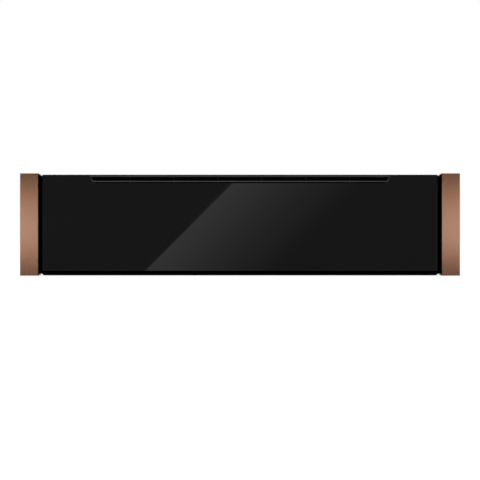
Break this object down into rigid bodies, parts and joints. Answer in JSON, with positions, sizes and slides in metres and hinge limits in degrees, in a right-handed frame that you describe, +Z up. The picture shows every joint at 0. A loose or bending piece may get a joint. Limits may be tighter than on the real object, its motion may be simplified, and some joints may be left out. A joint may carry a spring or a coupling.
{
  "type": "steam drawer",
  "caption": "Low built-in steam drawer with a black glass front between bronze trims, a top vent slot, a pull-out steam pan and a removable water tank.",
  "frame": {"origin": "middle of the closed appliance's outline, at the underside of its feet", "axes": "+X to the right seen from the front, +Y to the back, +Z up"},
  "size_m": [0.596, 0.548, 0.1389],
  "materials": {
    "bronze_trim": "brushed, bronze anodised",
    "black_glass": "polished, black behind",
    "black_plastic": "fine moulded texture",
    "matt_black_metal": "matt",
    "brushed_stainless": "brushed",
    "zinc_sheet": "zinc coated",
    "bright_steel": "bright zinc",
    "dark_silicone": "satin",
    "roller_plastic": "smooth",
    "cage_plastic": "smooth",
    "mineral_felt": "matt fibre",
    "cast_aluminium": "as cast",
    "motor_steel": "satin",
    "hose_silicone": "translucent, satin",
    "grey_plastic": "fine moulded texture",
    "clear_plastic": "clear, smoke tint",
    "circuit_board": "solder resist",
    "lamp_glass": "frosted",
    "lens_plastic": "translucent",
    "knob_metal": "black anodised"
  },
  "bodies": {
    "housing": {"base_pan": "zinc_sheet", "side_walls": "zinc_sheet", "top_cover": "zinc_sheet", "rear_panel": "zinc_sheet", "feet": "dark_silicone", "rear_bumpers": "black_plastic", "terminal_box": "black_plastic", "cable_gland": "black_plastic", "front_frame": "brushed_stainless", "cavity_liner": "brushed_stainless", "insulation_blanket": "mineral_felt", "floor_heater": "cast_aluminium", "fan_baffle": "brushed_stainless", "fan_motor": "motor_steel", "steam_generator": "cast_aluminium", "steam_pipe": "brushed_stainless", "steam_nozzle": "brushed_stainless", "temperature_probe": "brushed_stainless", "cavity_lamp": "lamp_glass", "dock_socket": "grey_plastic", "water_pump": "motor_steel", "suction_hose": "hose_silicone", "feed_hose": "hose_silicone", "power_board": "circuit_board", "control_fascia": "black_plastic", "selector_switch": "black_plastic", "indicator_lens": "lens_plastic", "control_board": "circuit_board", "outer_rails": "bright_steel", "latch_body": "black_plastic"},
    "drawer": {"trim_left": "bronze_trim", "trim_right": "bronze_trim", "trim_cores": "black_plastic", "glass_front": "black_glass", "front_carrier": "black_plastic", "vent_grille": "black_plastic", "bottom_profile": "matt_black_metal", "inner_door": "brushed_stainless", "door_gasket": "dark_silicone", "rail_brackets": "bright_steel", "inner_rails": "bright_steel", "pan_cradle": "brushed_stainless", "cradle_axle": "bright_steel", "tank_carrier": "grey_plastic"},
    "middle_sections": {"middle_rails": "bright_steel"},
    "outer_ball_cages": {"outer_cages": "cage_plastic"},
    "inner_ball_cages": {"inner_cages": "cage_plastic"},
    "rollers": {"cradle_rollers": "roller_plastic"},
    "pan": {"steam_pan": "brushed_stainless"},
    "insert": {"steam_insert": "brushed_stainless"},
    "tank": {"water_tank": "clear_plastic", "tank_lid": "grey_plastic", "tank_valve": "grey_plastic"},
    "flap": {"tank_flap": "grey_plastic"},
    "fan": {"fan_wheel": "bright_steel", "fan_shaft": "bright_steel"},
    "knob": {"selector_knob": "knob_metal", "selector_shaft": "bright_steel"},
    "button": {"power_button": "knob_metal"},
    "plunger": {"latch_plunger": "grey_plastic"}
  },
  "joints": [
    {"name": "drawer_slide", "type": "slide", "parent": "housing", "child": "drawer", "axis": [0, -1, 0], "range_m": [0, 0.39]},
    {"name": "middle_section_slide", "type": "slide", "parent": "housing", "child": "middle_sections", "axis": [0, -1, 0], "range_m": [0, 0.195]},
    {"name": "outer_cage_slide", "type": "slide", "parent": "housing", "child": "outer_ball_cages", "axis": [0, -1, 0], "range_m": [0, 0.0975]},
    {"name": "inner_cage_slide", "type": "slide", "parent": "housing", "child": "inner_ball_cages", "axis": [0, -1, 0], "range_m": [0, 0.2925]},
    {"name": "roller_spin", "type": "hinge", "parent": "drawer", "child": "rollers", "pos_m": [-0.045, 0.152, 0.0233], "axis": [1, 0, 0], "range_deg": [0, 2483]},
    {"name": "pan_lift", "type": "slide", "parent": "drawer", "child": "pan", "axis": [0, 0, 1], "range_m": [0, 0.012]},
    {"name": "insert_lift", "type": "slide", "parent": "pan", "child": "insert", "axis": [0, 0, 1], "range_m": [0, 0.012]},
    {"name": "tank_lift", "type": "slide", "parent": "drawer", "child": "tank", "axis": [0, 0, 1], "range_m": [0, 0.02]},
    {"name": "flap_hinge", "type": "hinge", "parent": "tank", "child": "flap", "pos_m": [0.217, -0.1524, 0.067], "axis": [-1, 0, 0], "range_deg": [0, 95]},
    {"name": "fan_spin", "type": "hinge", "parent": "housing", "child": "fan", "pos_m": [-0.07, 0.185, 0.066], "axis": [0, 1, 0], "continuous": true},
    {"name": "knob_turn", "type": "hinge", "parent": "housing", "child": "knob", "pos_m": [0.198, -0.23, 0.109], "axis": [0, 1, 0], "range_deg": [0, 270]},
    {"name": "button_press", "type": "slide", "parent": "housing", "child": "button", "axis": [0, 1, 0], "range_m": [0, 0.0012], "stiffness_N_per_m": 600},
    {"name": "latch_press", "type": "slide", "parent": "housing", "child": "plunger", "axis": [0, 1, 0], "range_m": [0, 0.004], "stiffness_N_per_m": 900}
  ],
  "couplings": [
    {"joint": "middle_section_slide", "follows": "drawer_slide", "ratio": 0.5},
    {"joint": "outer_cage_slide", "follows": "drawer_slide", "ratio": 0.25},
    {"joint": "inner_cage_slide", "follows": "drawer_slide", "ratio": 0.75},
    {"joint": "roller_spin", "follows": "drawer_slide", "rad_per_m": 111.11}
  ]
}
